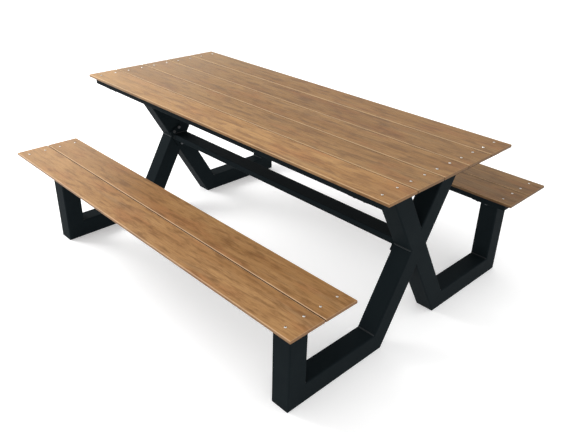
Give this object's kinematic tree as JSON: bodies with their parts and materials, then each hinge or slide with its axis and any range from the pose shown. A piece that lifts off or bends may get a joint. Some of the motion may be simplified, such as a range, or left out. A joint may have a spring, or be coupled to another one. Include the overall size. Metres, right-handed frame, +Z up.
{
  "type": "picnic table",
  "caption": "Picnic table with attached benches: wood boards screwed to flat steel sub-frames, carried by crossed square-tube end frames joined by a beam.",
  "frame": {"origin": "on the floor under the middle of the table top", "axes": "+X along the table, +Y across it towards the far bench, +Z up"},
  "size_m": [1.88, 1.603, 0.7582],
  "materials": {
    "board": "oiled hardwood, matt, with fine streaks along the board",
    "frame": "fine-textured anthracite powder coat, satin",
    "fastener": "plain stainless steel",
    "bolt": "dull zinc-plated steel"
  },
  "bodies": {
    "root": {"bar_bolts": "bolt", "cross_beam": "frame", "far_bench_board_1": "board", "far_bench_board_2": "board", "far_bench_cross_tube_1": "frame", "far_bench_cross_tube_2": "frame", "far_bench_cross_tube_3": "frame", "far_bench_inner_rail": "frame", "far_bench_left_end_tube": "frame", "far_bench_outer_rail": "frame", "far_bench_right_end_tube": "frame", "far_bench_screws": "fastener", "flange_bolts": "bolt", "left_beam_flange": "frame", "left_far_floor_rail": "frame", "left_far_post": "frame", "left_far_seat_bar": "frame", "left_head_bar": "frame", "left_long_diagonal": "frame", "left_lower_diagonal": "frame", "left_near_floor_rail": "frame", "left_near_post": "frame", "left_near_seat_bar": "frame", "left_upper_diagonal": "frame", "near_bench_board_1": "board", "near_bench_board_2": "board", "near_bench_cross_tube_1": "frame", "near_bench_cross_tube_2": "frame", "near_bench_cross_tube_3": "frame", "near_bench_inner_rail": "frame", "near_bench_left_end_tube": "frame", "near_bench_outer_rail": "frame", "near_bench_right_end_tube": "frame", "near_bench_screws": "fastener", "right_beam_flange": "frame", "right_far_floor_rail": "frame", "right_far_post": "frame", "right_far_seat_bar": "frame", "right_head_bar": "frame", "right_long_diagonal": "frame", "right_lower_diagonal": "frame", "right_near_floor_rail": "frame", "right_near_post": "frame", "right_near_seat_bar": "frame", "right_upper_diagonal": "frame", "table_board_1": "board", "table_board_2": "board", "table_board_3": "board", "table_board_4": "board", "table_board_5": "board", "table_cross_tube_1": "frame", "table_cross_tube_2": "frame", "table_cross_tube_3": "frame", "table_far_rail": "frame", "table_left_end_tube": "frame", "table_near_rail": "frame", "table_right_end_tube": "frame", "table_screws": "fastener", "underside_screws": "fastener"}
  },
  "joints": []
}
